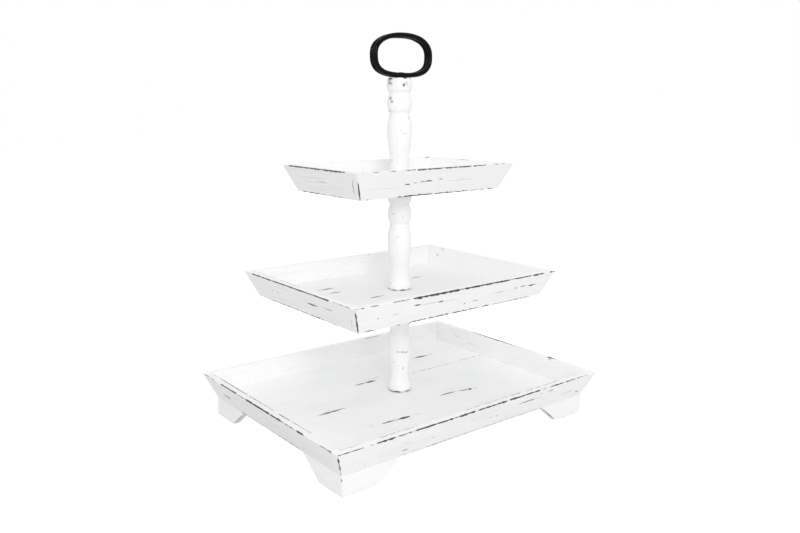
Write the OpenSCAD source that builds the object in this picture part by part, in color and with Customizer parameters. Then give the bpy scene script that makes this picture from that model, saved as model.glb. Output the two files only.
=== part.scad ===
// Three-tier rectangular serving stand, painted wood, handle of two black loops.
// Millimetres, +Z up. The origin is on the floor, under the axis of the posts.
// X runs along the long side of the trays, Y runs from front to back.

/* [Trays] */
// length of the base tray over its rim, along X
base_l = 406; // [300:1:500]
// depth of the base tray over its rim, along Y
base_w = 316; // [240:1:380]
// length of the middle tray over its rim
middle_l = 310; // [240:1:400]
// depth of the middle tray over its rim
middle_w = 245; // [180:1:300]
// length of the top tray over its rim
top_l = 240; // [180:1:300]
// depth of the top tray over its rim
top_w = 158; // [120:1:220]
// height of a tray's side boards
wall_h = 32; // [20:1:50]
// how far the sides lean out between bottom edge and rim
flare = 13.6; // [4:0.2:20]
// thickness of a side board, measured level
wall_t = 10; // [6:0.5:14]
// thickness of a tray floor
floor_t = 9; // [6:0.5:14]
// place of the joint between the base tray's two floor planks, along Y
seam_y = 37; // [20:1:80]

/* [Feet] */
// height of the bracket feet, floor to tray
foot_h = 24; // [12:1:50]
// thickness of the foot boards
foot_t = 8; // [6:0.5:12]
// width of a foot board at its top, along the long side
foot_long_top = 76; // [50:1:90]
// width of the same board where it stands on the floor
foot_long_bottom = 48; // [20:1:50]
// width of a foot board at its top, along the short side
foot_short_top = 75; // [50:1:90]
// width of the same board where it stands on the floor
foot_short_bottom = 44; // [20:1:50]

/* [Posts] */
// length of each turned post
post_h = 125.6; // [100:0.2:160]
// scale of the turned profile's radius
post_fat = 1; // [0.9:0.01:1.2]

/* [Handle] */
// length of the loops over all, along X
loop_l = 89.2; // [80:0.2:110]
// height of the loops over all
loop_h = 52.6; // [50:0.2:60]
// thickness of the loops' round bar
bar_d = 6; // [4:0.2:7]
// how far the loops' middle stands off the posts' axis, along X
loop_off = 3.5; // [0:0.5:5]

/* [Hardware] */
// radius of the threaded rods and of the bolt's shank
rod_r = 2.95; // [2.9:0.05:2.95]
// length of rod inside each post
rod_in = 17; // [12:1:19]
// radius of the hole in each tray floor
floor_hole_r = 3.4; // [3.3:0.1:4.2]

/* [Hidden] */
eps = 0.01;
big = 600;
// free play between the ends of the posts and the trays or handle beside them
play = 0.2;
// thread inserts at both ends of a post
insert_r = 4.5;
insert_h = 15;
insert_bore_r = 3;
drill_h = 20;
// washer and screw under the base tray
washer_r = 8;
washer_t = 1.5;
head_r = 6;
head_h = 3.6;
// gap between the two loops, closed by the weld
loop_gap = 0.04;
// weld bead in the groove between the loops
weld_r = 2.6;
weld_l = 9;
weld_proud = 1.1;
// how far the stud rises between the loops
stud_rise = 1.4;
fine = 96;

// level of each tray's underside and of the posts' feet
base_z = foot_h;
lower_z = base_z + floor_t + play;
middle_z = lower_z + post_h + play;
mid_post_z = middle_z + floor_t + play;
top_z = mid_post_z + post_h + play;
up_post_z = top_z + floor_t + play;
post_top_z = up_post_z + post_h;
loop_z = post_top_z + play;
rod_span = 2 * rod_in + floor_t + 2 * play;

// turned profile, [height as a share of 125.6, radius], from the foot up
profile = [
  [0, 13.0], [0.8, 13.9], [3, 14.4], [6, 14.4], [9, 13.5], [13, 12.4],
  [18, 11.8], [23, 11.6], [28, 11.8], [33, 12.5], [39, 13.5], [45, 14.3],
  [51, 14.8], [58, 15.1], [65, 15.1], [70, 14.8], [74, 14.2], [76.8, 13.4],
  [77.4, 12.9], [80.4, 12.9], [82, 12.2], [83.4, 11.9], [84.6, 12.1],
  [86, 13.0], [88.5, 14.1], [92, 14.7], [96, 14.9], [100, 14.6],
  [103, 14.0], [105.5, 13.1], [107.2, 12.2], [108.2, 12.0], [109.2, 12.6],
  [110.2, 13.8], [112, 14.5], [115, 15.2], [118, 15.4], [121.5, 15.1],
  [124.4, 14.5], [125.6, 13.8]
];

paint = [0.93, 0.92, 0.89];
paint_end = [0.88, 0.87, 0.84];
black = [0.08, 0.08, 0.09];
steel = [0.70, 0.71, 0.73];
brass_c = [0.80, 0.66, 0.35];

// ---- trays -------------------------------------------------------------

// Prism along Y with a level-edged trapezoid in XZ: half length at the
// bottom and at the top.
module prism_y(half_bottom, half_top, h) {
  rotate([90, 0, 0])
    linear_extrude(big, center = true)
      polygon([[-half_bottom, 0], [half_bottom, 0], [half_top, h], [-half_top, h]]);
}

// The same prism laid along X.
module prism_x(half_bottom, half_top, h) {
  rotate([0, 0, 90])
    prism_y(half_bottom, half_top, h);
}

// Long side board: runs the tray's full length, its ends flush with the
// short sides' outer faces. side is -1 for the front, 1 for the back.
module long_wall(l, w, side) {
  color(paint)
    intersection() {
      prism_y(l / 2 - flare, l / 2, wall_h);
      rotate([0, 0, 90])
        rotate([90, 0, 0])
          linear_extrude(big, center = true)
            polygon([
              [side * (w / 2 - flare), 0],
              [side * (w / 2), wall_h],
              [side * (w / 2 - wall_t), wall_h],
              [side * (w / 2 - flare - wall_t), 0]
            ]);
    }
}

// Short side board, butted between the two long boards.
module short_wall(l, w, side) {
  color(paint_end)
    intersection() {
      prism_x(w / 2 - flare - wall_t, w / 2 - wall_t, wall_h);
      rotate([90, 0, 0])
        linear_extrude(big, center = true)
          polygon([
            [side * (l / 2 - flare), 0],
            [side * (l / 2), wall_h],
            [side * (l / 2 - wall_t), wall_h],
            [side * (l / 2 - flare - wall_t), 0]
          ]);
    }
}

// Floor let in between the side boards, its edges bevelled to their slope.
module floor_board(l, w) {
  lean = flare * floor_t / wall_h;
  half_l = l / 2 - flare - wall_t;
  half_w = w / 2 - flare - wall_t;
  color(paint)
    difference() {
      intersection() {
        prism_y(half_l, half_l + lean, floor_t);
        prism_x(half_w, half_w + lean, floor_t);
      }
      translate([0, 0, -1])
        cylinder(r = floor_hole_r, h = floor_t + 2, $fn = fine);
    }
}

module base_floor_front() {
  translate([0, 0, base_z])
    intersection() {
      floor_board(base_l, base_w);
      translate([-big / 2, seam_y - big, -1])
        cube([big, big, floor_t + 2]);
    }
}

module base_floor_rear() {
  translate([0, 0, base_z])
    intersection() {
      floor_board(base_l, base_w);
      translate([-big / 2, seam_y, -1])
        cube([big, big, floor_t + 2]);
    }
}

// ---- feet --------------------------------------------------------------

// Bracket foot board on a long side, drawn for the back right corner.
// Its end is mitred against the short side's board.
module foot_long() {
  x = base_l / 2 - flare;
  y = base_w / 2 - flare;
  color(paint)
    intersection() {
      linear_extrude(foot_h)
        polygon([[x, y], [x - foot_long_top, y],
                 [x - foot_long_top, y - foot_t], [x - foot_t, y - foot_t]]);
      rotate([90, 0, 0])
        linear_extrude(big, center = true)
          polygon([[x, 0], [x, foot_h],
                   [x - foot_long_top, foot_h], [x - foot_long_bottom, 0]]);
    }
}

// Bracket foot board on a short side, drawn for the back right corner.
module foot_short() {
  x = base_l / 2 - flare;
  y = base_w / 2 - flare;
  color(paint_end)
    intersection() {
      linear_extrude(foot_h)
        polygon([[x, y], [x, y - foot_short_top],
                 [x - foot_t, y - foot_short_top], [x - foot_t, y - foot_t]]);
      rotate([0, 0, 90])
        rotate([90, 0, 0])
          linear_extrude(big, center = true)
            polygon([[y, 0], [y, foot_h],
                     [y - foot_short_top, foot_h], [y - foot_short_bottom, 0]]);
    }
}

// Mirrors a piece from the back right corner to the other three.
module to_corner(left, front) {
  mirror([left ? 1 : 0, 0, 0])
    mirror([0, front ? 1 : 0, 0])
      children();
}

// ---- posts and their hardware -----------------------------------------

module post(z) {
  s = post_h / 125.6;
  outline = concat([[0, 0]],
                   [for (p = profile) [p[1] * post_fat, p[0] * s]],
                   [[0, post_h]]);
  color(paint)
    translate([0, 0, z])
      difference() {
        rotate_extrude($fn = fine)
          polygon(outline);
        for (flip = [0, 1])
          translate([0, 0, flip * post_h])
            mirror([0, 0, flip])
              post_bore();
      }
}

// Stepped hole in a post's end: a pocket for the insert, then the drill.
module post_bore() {
  translate([0, 0, -1])
    cylinder(r = insert_r, h = insert_h + 1, $fn = fine);
  translate([0, 0, insert_h - eps])
    cylinder(r = insert_bore_r + 0.2, h = drill_h - insert_h, $fn = fine);
}

// Brass thread insert, standing with its mouth flush with the post's end.
module insert(z) {
  color(brass_c)
    translate([0, 0, z])
      difference() {
        cylinder(r = insert_r, h = insert_h, $fn = fine);
        translate([0, 0, -1])
          cylinder(r = insert_bore_r, h = insert_h + 2, $fn = fine);
      }
}

// Threaded rod that joins two posts through a tray's floor.
module rod(z) {
  color(steel)
    translate([0, 0, z])
      cylinder(r = rod_r, h = rod_span, $fn = fine);
}

module base_washer() {
  color(steel)
    translate([0, 0, base_z - washer_t])
      difference() {
        cylinder(r = washer_r, h = washer_t, $fn = fine);
        translate([0, 0, -1])
          cylinder(r = insert_bore_r + 0.2, h = washer_t + 2, $fn = fine);
      }
}

// Pan head screw with a hexagon socket, driven up into the lower post.
module base_screw() {
  under = base_z - washer_t;
  color(steel)
    difference() {
      union() {
        translate([0, 0, under - head_h])
          cylinder(r1 = head_r - 1, r2 = head_r, h = 1, $fn = fine);
        translate([0, 0, under - head_h + 1])
          cylinder(r = head_r, h = head_h - 1, $fn = fine);
        translate([0, 0, under - eps])
          cylinder(r = rod_r, h = washer_t + floor_t + play + rod_in, $fn = fine);
      }
      translate([0, 0, under - head_h - 1])
        cylinder(r = 2.3, h = 3.2, $fn = 6);
    }
}

// ---- handle ------------------------------------------------------------

// Straight run of a loop, its middle line at the height z.
module bar_run(run, z) {
  translate([0, z, 0])
    rotate([0, 90, 0])
      cylinder(d = bar_d, h = run, center = true, $fn = 48);
}

// Round end of a loop, bent round a radius r.
module bar_bend(r, from) {
  rotate([0, 0, from])
    rotate_extrude(angle = 180, $fn = fine)
      translate([r, 0])
        circle(d = bar_d, $fn = 48);
}

// Closed loop of round bar, flat above and below. side is -1 for the
// front one of the pair, 1 for the back one.
module handle_loop(side) {
  a = (loop_l - bar_d) / 2;
  b = (loop_h - bar_d) / 2;
  color(black)
    translate([loop_off, side * (bar_d + loop_gap) / 2, loop_z + loop_h / 2])
      rotate([90, 0, 0])
        union() {
          bar_run(2 * (a - b), -b);
          bar_run(2 * (a - b), b);
          translate([a - b, 0, 0])
            bar_bend(b, -90);
          translate([b - a, 0, 0])
            bar_bend(b, 90);
        }
}

// The bottom runs of both loops, to cut their neighbours to fit.
module loop_runs() {
  for (side = [-1, 1])
    translate([0, side * (bar_d + loop_gap) / 2, loop_z + bar_d / 2])
      rotate([0, 90, 0])
        cylinder(d = bar_d, h = 40, center = true, $fn = 48);
}

// Weld bead laid in the groove between the loops, on their inside.
module handle_weld() {
  color(black)
    difference() {
      translate([loop_off, 0, loop_z + bar_d + weld_proud - weld_r])
        rotate([0, 90, 0])
          cylinder(r = weld_r, h = weld_l, center = true, $fn = fine);
      loop_runs();
      translate([loop_off - 10, -10, loop_z - 1])
        cube([20, 20, bar_d / 2 + 1]);
    }
}

// Threaded stud, welded up between the loops, in the upper post's insert.
module handle_stud() {
  color(steel)
    difference() {
      translate([0, 0, loop_z - play - rod_in])
        cylinder(r = rod_r, h = rod_in + play + stud_rise, $fn = fine);
      loop_runs();
    }
}

// ---- the pieces --------------------------------------------------------

translate([0, 0, base_z]) long_wall(base_l, base_w, -1);  // base_wall_front
translate([0, 0, base_z]) long_wall(base_l, base_w, 1);  // base_wall_back
translate([0, 0, base_z]) short_wall(base_l, base_w, -1);  // base_wall_left
translate([0, 0, base_z]) short_wall(base_l, base_w, 1);  // base_wall_right
base_floor_front();
base_floor_rear();

to_corner(true, true) foot_long();  // foot_front_left_long
to_corner(true, true) foot_short();  // foot_front_left_short
to_corner(false, true) foot_long();  // foot_front_right_long
to_corner(false, true) foot_short();  // foot_front_right_short
to_corner(true, false) foot_long();  // foot_back_left_long
to_corner(true, false) foot_short();  // foot_back_left_short
to_corner(false, false) foot_long();  // foot_back_right_long
to_corner(false, false) foot_short();  // foot_back_right_short

translate([0, 0, middle_z]) long_wall(middle_l, middle_w, -1);  // middle_wall_front
translate([0, 0, middle_z]) long_wall(middle_l, middle_w, 1);  // middle_wall_back
translate([0, 0, middle_z]) short_wall(middle_l, middle_w, -1);  // middle_wall_left
translate([0, 0, middle_z]) short_wall(middle_l, middle_w, 1);  // middle_wall_right
translate([0, 0, middle_z]) floor_board(middle_l, middle_w);  // middle_floor

translate([0, 0, top_z]) long_wall(top_l, top_w, -1);  // top_wall_front
translate([0, 0, top_z]) long_wall(top_l, top_w, 1);  // top_wall_back
translate([0, 0, top_z]) short_wall(top_l, top_w, -1);  // top_wall_left
translate([0, 0, top_z]) short_wall(top_l, top_w, 1);  // top_wall_right
translate([0, 0, top_z]) floor_board(top_l, top_w);  // top_floor

post(lower_z);  // post_lower
post(mid_post_z);  // post_middle
post(up_post_z);  // post_upper

insert(lower_z);  // insert_lower_bottom
insert(lower_z + post_h - insert_h);  // insert_lower_top
insert(mid_post_z);  // insert_middle_bottom
insert(mid_post_z + post_h - insert_h);  // insert_middle_top
insert(up_post_z);  // insert_upper_bottom
insert(up_post_z + post_h - insert_h);  // insert_upper_top

rod(lower_z + post_h - rod_in);  // rod_lower
rod(mid_post_z + post_h - rod_in);  // rod_upper
base_washer();
base_screw();

handle_loop(-1);  // handle_loop_front
handle_loop(1);  // handle_loop_back
handle_weld();
handle_stud();
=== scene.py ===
# Three-tier serving stand: worn white boards, turned posts and a pair of black loops, built on the packed
# CAD frame. Lengths inside this script are millimetres until a mesh is made; Blender gets metres.
import math

import bpy
import numpy as np
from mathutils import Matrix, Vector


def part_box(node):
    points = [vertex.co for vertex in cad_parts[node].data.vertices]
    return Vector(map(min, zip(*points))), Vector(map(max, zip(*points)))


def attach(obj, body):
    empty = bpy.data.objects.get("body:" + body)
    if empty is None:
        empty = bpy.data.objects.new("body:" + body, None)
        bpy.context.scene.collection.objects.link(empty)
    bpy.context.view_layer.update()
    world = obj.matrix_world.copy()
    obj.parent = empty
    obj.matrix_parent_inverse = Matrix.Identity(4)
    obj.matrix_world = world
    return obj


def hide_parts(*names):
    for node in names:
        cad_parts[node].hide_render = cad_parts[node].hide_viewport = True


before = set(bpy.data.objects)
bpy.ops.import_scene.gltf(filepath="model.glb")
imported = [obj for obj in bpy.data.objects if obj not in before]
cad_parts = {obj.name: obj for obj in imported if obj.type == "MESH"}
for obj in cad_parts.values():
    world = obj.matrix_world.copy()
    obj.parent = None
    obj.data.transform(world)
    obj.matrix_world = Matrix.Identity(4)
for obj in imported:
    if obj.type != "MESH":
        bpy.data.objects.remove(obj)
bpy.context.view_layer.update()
MM = 0.001
UNTOUCHED = -0.85     # rub width, in mm, of an edge that nothing has rubbed
ON_LINE = 1e-3        # how near, in mm, a grid point must be to count as on a line
HOLE_RADIUS = 3.4     # of the hole through a floor board, in mm
HOLE_PATCH = 9.0      # half width, in mm, of the square patch that is swapped for rings round that hole
FOOT_BOTTOM = {"long": 48.0, "short": 44.0}    # length of a foot board at the ground, in mm


def box(node):
    lo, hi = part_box(node)
    return np.array(lo) / MM, np.array(hi) / MM


# ---------------------------------------------------------------- node helpers


class Tree:
    """Small helper around a material's node tree."""

    def __init__(self, name):
        self.mat = bpy.data.materials.new(name)
        self.mat.use_nodes = True
        self.nt = self.mat.node_tree
        self.nt.nodes.clear()
        self.out = self.nt.nodes.new("ShaderNodeOutputMaterial")
        self.bsdf = self.nt.nodes.new("ShaderNodeBsdfPrincipled")
        self.link(self.bsdf.outputs[0], self.out.inputs["Surface"])
        self.place = self.nt.nodes.new("ShaderNodeTexCoord").outputs["Object"]

    def link(self, a, b):
        self.nt.links.new(a, b)

    def put(self, socket, value):
        if isinstance(value, bpy.types.NodeSocket):
            self.link(value, socket)
        else:
            socket.default_value = value

    def math(self, op, a, b=0.0):
        n = self.nt.nodes.new("ShaderNodeMath")
        n.operation = op
        self.put(n.inputs[0], a)
        self.put(n.inputs[1], b)
        return n.outputs[0]

    def ramp(self, value, lo, hi, out_lo=0.0, out_hi=1.0, smooth=True):
        n = self.nt.nodes.new("ShaderNodeMapRange")
        n.interpolation_type = "SMOOTHSTEP" if smooth else "LINEAR"
        self.put(n.inputs["Value"], value)
        n.inputs["From Min"].default_value = lo
        n.inputs["From Max"].default_value = hi
        n.inputs["To Min"].default_value = out_lo
        n.inputs["To Max"].default_value = out_hi
        return n.outputs["Result"]

    def mapping(self, kind, vector, location=(0, 0, 0), turn=(0, 0, 0), scale=(1, 1, 1)):
        n = self.nt.nodes.new("ShaderNodeMapping")
        n.vector_type = kind
        self.put(n.inputs["Vector"], vector)
        n.inputs["Location"].default_value = location
        n.inputs["Rotation"].default_value = turn
        n.inputs["Scale"].default_value = scale
        return n.outputs["Vector"]

    def vec(self, op, a, b=None, scale=None):
        n = self.nt.nodes.new("ShaderNodeVectorMath")
        n.operation = op
        self.put(n.inputs[0], a)
        if b is not None:
            self.put(n.inputs[1], b)
        if scale is not None:
            n.inputs["Scale"].default_value = scale
        return n.outputs["Value"] if op in ("LENGTH", "DOT_PRODUCT") else n.outputs["Vector"]

    def noise(self, vector, scale, detail=3.0, rough=0.55, colour=False):
        n = self.nt.nodes.new("ShaderNodeTexNoise")
        self.put(n.inputs["Vector"], vector)
        n.inputs["Scale"].default_value = scale
        n.inputs["Detail"].default_value = detail
        n.inputs["Roughness"].default_value = rough
        return n.outputs["Color"] if colour else n.outputs["Fac"]

    def mix(self, factor, a, b):
        n = self.nt.nodes.new("ShaderNodeMix")
        n.data_type = "RGBA"
        self.put(n.inputs[0], factor)
        self.put(n.inputs[6], a)
        self.put(n.inputs[7], b)
        return n.outputs[2]

    def bump(self, height, strength, distance):
        n = self.nt.nodes.new("ShaderNodeBump")
        n.inputs["Strength"].default_value = strength
        n.inputs["Distance"].default_value = distance
        self.put(n.inputs["Height"], height)
        return n.outputs["Normal"]

    def attribute(self, name):
        n = self.nt.nodes.new("ShaderNodeAttribute")
        n.attribute_name = name
        return n.outputs["Fac"]


def rgb(r, g, b):
    return (r, g, b, 1.0)


GRAIN = {"x": (0.07, 1, 1), "y": (1, 0.07, 1), "round": (1, 1, 0.6)}


def paint(name, grain, seed, marks=(), specks=0.5, streak=1.0, splinter=2.6, painted_light_level=1.0):
    """Chalky white paint rubbed through to dark wood. The mesh's "wear" attribute is the margin, in mm, by
    which a point lies inside a worn edge. Each mark is a scrape: centre, half sizes and turn about Z in
    degrees, all in mm, and how strongly it shows."""
    t = Tree(name)
    shift = tuple(0.37 * seed * k for k in (1.0, 1.7, 2.3))
    moved = t.vec("ADD", t.place, shift)
    along = t.mapping("POINT", moved, scale=GRAIN[grain])
    # ragged edge of the wear: fine splinters along the grain, and broader patches
    fine = t.noise(along, 1500, 2.5, 0.6)
    broad = t.noise(moved, 130, 2.0, 0.5)
    rag = t.math("ADD", t.math("MULTIPLY", t.math("SUBTRACT", fine, 0.5), 2.2),
                 t.math("MULTIPLY", t.math("SUBTRACT", broad, 0.5), 1.6))
    wear = t.attribute("wear")
    margin = t.math("ADD", wear, rag)
    worn = t.ramp(margin, -0.03, 0.22)
    halo = t.ramp(margin, -0.9, 0.1)
    # scrapes
    wobble = t.vec("SUBTRACT", t.noise(moved, 420, 2.0, 0.5, colour=True), (0.5, 0.5, 0.5))
    bent = t.vec("ADD", t.place, t.vec("SCALE", wobble, scale=0.0012))
    broken = t.math("MULTIPLY", t.math("SUBTRACT", fine, 0.5), splinter)
    for centre, half, turn, strength in marks:
        local = t.mapping("TEXTURE", bent, tuple(c * MM for c in centre), (0, 0, math.radians(turn)),
                          tuple(h * MM for h in half))
        reach = t.math("ADD", t.vec("LENGTH", local), broken)
        worn = t.math("MAXIMUM", worn, t.ramp(reach, 1.0, 0.7, 0.0, strength))
    # tiny specks where the brush skipped
    dust = t.noise(t.mapping("POINT", moved, scale=tuple(0.5 + 0.5 * g for g in GRAIN[grain])), 900, 1.0, 0.4)
    patch = t.ramp(t.noise(moved, 22, 1.0, 0.5), 0.50, 0.62)
    speck = t.math("MULTIPLY", t.ramp(dust, 0.745, 0.80), patch)
    worn = t.math("MAXIMUM", worn, t.math("MULTIPLY", speck, specks))
    # the coat itself: brushed streaks with the wood's grain just showing
    hair = t.noise(along, 900, 4.0, 0.62)
    band = t.noise(along, 140, 3.0, 0.5)
    cloud = t.noise(moved, 16, 2.0, 0.5)
    # tone scales the white coat of the whole piece to stand in for light: painted light above 1 on the base
    # floor and base back board, painted shade below 1 on the left boards and the top tray's boards
    coat = t.mix(t.ramp(hair, 0.30, 0.72), rgb(0.865 * painted_light_level, 0.868 * painted_light_level, 0.873 * painted_light_level),
                 rgb(0.925 * painted_light_level, 0.926 * painted_light_level, 0.928 * painted_light_level))
    coat = t.mix(t.math("MULTIPLY", t.ramp(band, 0.52, 0.72), 0.22 * streak), coat, rgb(0.77, 0.775, 0.785))
    coat = t.mix(t.math("MULTIPLY", t.ramp(cloud, 0.45, 0.70), 0.30), coat, rgb(0.855, 0.860, 0.868))
    coat = t.mix(t.math("MULTIPLY", halo, 0.20), coat, rgb(0.45, 0.45, 0.46))
    bare = t.mix(t.ramp(hair, 0.35, 0.65), rgb(0.030, 0.029, 0.029), rgb(0.105, 0.101, 0.098))
    t.put(t.bsdf.inputs["Base Color"], t.mix(worn, coat, bare))
    t.put(t.bsdf.inputs["Roughness"], t.ramp(worn, 0.0, 1.0, 0.50, 0.85, smooth=False))
    t.bsdf.inputs["Specular IOR Level"].default_value = 0.35
    height = t.math("ADD", t.math("MULTIPLY", hair, 0.30), t.math("MULTIPLY", band, 0.45))
    height = t.math("SUBTRACT", height, t.math("MULTIPLY", worn, 1.2))
    t.put(t.bsdf.inputs["Normal"], t.bump(height, 0.55, 0.00016))
    return t.mat


def gloss_black(name, seed, rough=0.14, lumps=0.00010):
    t = Tree(name)
    moved = t.vec("ADD", t.place, (0.3 * seed, 0.2 * seed, 0.5 * seed))
    peel = t.noise(moved, 520, 2.0, 0.5)
    sag = t.noise(moved, 95, 2.0, 0.5)
    dust = t.noise(moved, 1500, 2.0, 0.6)
    t.put(t.bsdf.inputs["Base Color"],
          t.mix(t.ramp(sag, 0.3, 0.7), rgb(0.0018, 0.0018, 0.0020), rgb(0.0048, 0.0048, 0.0053)))
    t.put(t.bsdf.inputs["Roughness"], t.ramp(dust, 0.35, 0.75, rough - 0.04, rough + 0.12, smooth=False))
    t.bsdf.inputs["Specular IOR Level"].default_value = 0.10
    height = t.math("ADD", t.math("MULTIPLY", peel, 0.25), sag)
    t.put(t.bsdf.inputs["Normal"], t.bump(height, 0.6, lumps))
    return t.mat


def bright_metal(name, light, dark, rough, brushed):
    t = Tree(name)
    lines = t.noise(t.mapping("POINT", t.place, scale=brushed), 1400, 3.0, 0.6)
    spots = t.noise(t.place, 260, 3.0, 0.6)
    t.put(t.bsdf.inputs["Base Color"], t.mix(t.ramp(spots, 0.35, 0.7), light, dark))
    t.bsdf.inputs["Metallic"].default_value = 1.0
    t.put(t.bsdf.inputs["Roughness"], t.ramp(lines, 0.3, 0.7, rough - 0.08, rough + 0.12, smooth=False))
    t.put(t.bsdf.inputs["Normal"], t.bump(lines, 0.4, 0.00004))
    return t.mat


# ---------------------------------------------------------------- mesh helpers


def make_mesh(name, points, quads, wear, material, body, nodes):
    """One piece from points in mm and quads, turned outward, riding on its body in place of its CAD nodes."""
    points = np.asarray(points, float)
    quads = np.asarray(quads, np.int64)
    a, b, c, d = (points[quads[:, k]] for k in range(4))
    volume = np.einsum("ij,ij->i", a, np.cross(b, c)).sum() + np.einsum("ij,ij->i", a, np.cross(c, d)).sum()
    if volume < 0:
        quads = quads[:, ::-1]
    mesh = bpy.data.meshes.new(name)
    mesh.vertices.add(len(points))
    mesh.vertices.foreach_set("co", (points * MM).astype(np.float32).ravel())
    mesh.loops.add(quads.size)
    mesh.loops.foreach_set("vertex_index", quads.ravel().astype(np.int32))
    mesh.polygons.add(len(quads))
    mesh.polygons.foreach_set("loop_start", (np.arange(len(quads)) * 4).astype(np.int32))
    mesh.update(calc_edges=True)
    mesh.polygons.foreach_set("use_smooth", np.ones(len(quads), bool))
    mesh.attributes.new("wear", "FLOAT", "POINT").data.foreach_set("value", np.asarray(wear, np.float32))
    mesh.validate()
    mesh.materials.append(material)
    piece = bpy.data.objects.new(name, mesh)
    bpy.context.scene.collection.objects.link(piece)
    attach(piece, body)
    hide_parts(*nodes)


def lines_between(lo, hi, step, near=(0.0, 0.3, 0.7, 1.3, 2.2, 4.0), extra=()):
    """Grid lines from lo to hi: close together near both ends, about step apart between them."""
    half = (hi - lo) / 2
    near = [n for n in near if n < 0.8 * half]
    inner_lo, inner_hi = lo + near[-1], hi - near[-1]
    count = max(1, int(round((inner_hi - inner_lo) / step)))
    middle = np.linspace(inner_lo, inner_hi, count + 1)[1:-1]
    all_lines = [lo + n for n in near] + list(middle) + [hi - n for n in near] + list(extra)
    return np.array(sorted(set(np.round(all_lines, 4))))


def wave(x, seed, length):
    """Smooth repeatable noise, about -1 to 1, with features about length long."""
    rng = np.random.default_rng(seed)
    total = np.zeros_like(np.asarray(x, float))
    for _ in range(5):
        total = total + np.sin(np.asarray(x) * 2 * math.pi / length * rng.uniform(0.45, 1.7)
                               + rng.uniform(0, 2 * math.pi))
    return total / 3.2


def rub_along(t, spans, seed, dots):
    """How wide, in mm, an edge is rubbed at each place t along it. Below zero is untouched."""
    width = np.full(len(t), UNTOUCHED)
    for lo, hi, wide in spans:
        lo, hi = min(lo, hi), max(lo, hi)
        ragged = wide * (0.78 + 0.30 * wave(t, seed + 11, 9.0) + 0.16 * wave(t, seed + 12, 3.5))
        ends = np.minimum(t - lo, hi - t) / 2.5
        here = np.where(ends > 0, np.minimum(1.0, ends) * (ragged + 0.5) - 0.5, UNTOUCHED)
        width = np.maximum(width, here)
    if dots > 0:
        chance = wave(t, seed + 21, 7.0) + 0.5 * wave(t, seed + 22, 60.0)
        nicked = np.where(chance > 1.25 - dots, 0.15 + 0.35 * (chance - 1.25 + dots), UNTOUCHED)
        width = np.maximum(width, nicked)
    return width


def block(size, steps, place, rub, seed, radius=0.45, dots=0.25, extra=((), (), ())):
    """A board as a block of grid lines (s along the grain, p through it, q across it) with rounded edges,
    set in place by place(s, p, q). rub maps an edge's name, such as "s_p0_q1" (runs along s, at the low p and
    high q), to its worn spans. Returns points, quads and each point's wear margin."""
    grids = [lines_between(0, size[k], steps[k], extra=extra[k]) for k in range(3)]
    n = [len(g) for g in grids]
    ids = np.full(n, -1, np.int64)
    outer = np.zeros(n, bool)
    outer[0], outer[-1] = True, True
    outer[:, 0], outer[:, -1] = True, True
    outer[:, :, 0], outer[:, :, -1] = True, True
    i, j, k = np.nonzero(outer)
    ids[i, j, k] = np.arange(len(i))
    at = np.stack([grids[0][i], grids[1][j], grids[2][k]], 1)
    quads = []
    for axis in range(3):
        for end in (0, -1):
            sheet = np.take(ids, 0 if end == 0 else n[axis] - 1, axis=axis)
            q = np.stack([sheet[:-1, :-1], sheet[1:, :-1], sheet[1:, 1:], sheet[:-1, 1:]], -1).reshape(-1, 4)
            if (end == 0) == (axis != 1):
                q = q[:, ::-1]
            quads.append(q)
    quads = np.concatenate(quads)
    wear = np.full(len(at), -9.0)
    near_rub = np.full(len(at), UNTOUCHED)
    near_d = np.full(len(at), 99.0)
    names = "spq"
    for axis in range(3):
        a, b = [x for x in range(3) if x != axis]
        for ea in (0, 1):
            for eb in (0, 1):
                key = f"{names[axis]}_{names[a]}{ea}_{names[b]}{eb}"
                number = axis * 4 + ea * 2 + eb
                width = rub_along(grids[axis], rub.get(key, ()), seed * 100 + number * 7, dots)
                width = width[(i, j, k)[axis]]
                away = np.hypot(at[:, a] - ea * size[a], at[:, b] - eb * size[b])
                wear = np.maximum(wear, width - away)
                near_rub = np.where(away < near_d, width, near_rub)
                near_d = np.minimum(away, near_d)
    # round the edges, more where they are rubbed away
    r = np.clip(radius + 0.35 * np.maximum(near_rub, 0.0), 0.05, 0.45 * min(size))[:, None]
    core = np.clip(at, r, np.array(size) - r)
    out = at - core
    far = np.linalg.norm(out, axis=1, keepdims=True)
    rounded = np.where(far > 1e-9, core + out / np.maximum(far, 1e-9) * r, at)
    # boards are never quite flat
    rounded[:, 1] += 0.10 * wave(rounded[:, 0], seed + 5, 120.0) * 0.6
    points = np.stack(place(rounded[:, 0], rounded[:, 1], rounded[:, 2]), 1)
    return points, quads, wear, at


# ---------------------------------------------------------------- the trays

TRAY_BODY = {"base": "base", "middle": "middle_tray", "top": "top_tray"}


def tray_size(tray):
    """Length, depth, height, level, board thickness and lean of a tray, from its CAD boxes."""
    front_lo, front_hi = box(f"{tray}_wall_front")
    right_lo, right_hi = box(f"{tray}_wall_right")
    floor_lo, floor_hi = box("base_floor_front" if tray == "base" else f"{tray}_floor")
    length, depth = 2 * right_hi[0], -2 * front_lo[1]
    height, level = front_hi[2] - front_lo[2], front_lo[2]
    spread = right_hi[0] - right_lo[0]
    floor_t = floor_hi[2] - floor_lo[2]
    lean = (floor_hi[0] - length / 2 + spread) * height / floor_t
    return length, depth, height, level, spread - lean, lean, floor_t


def spans_in_s(rub, to_s):
    """The worn spans with those that run along s turned from places in the tray into values of s."""
    spans = {}
    for edge, worn in rub.items():
        turned = [(to_s(a), to_s(b), wide) for a, b, wide in worn]
        spans[edge] = turned if edge.startswith("s") else worn
    return spans


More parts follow.
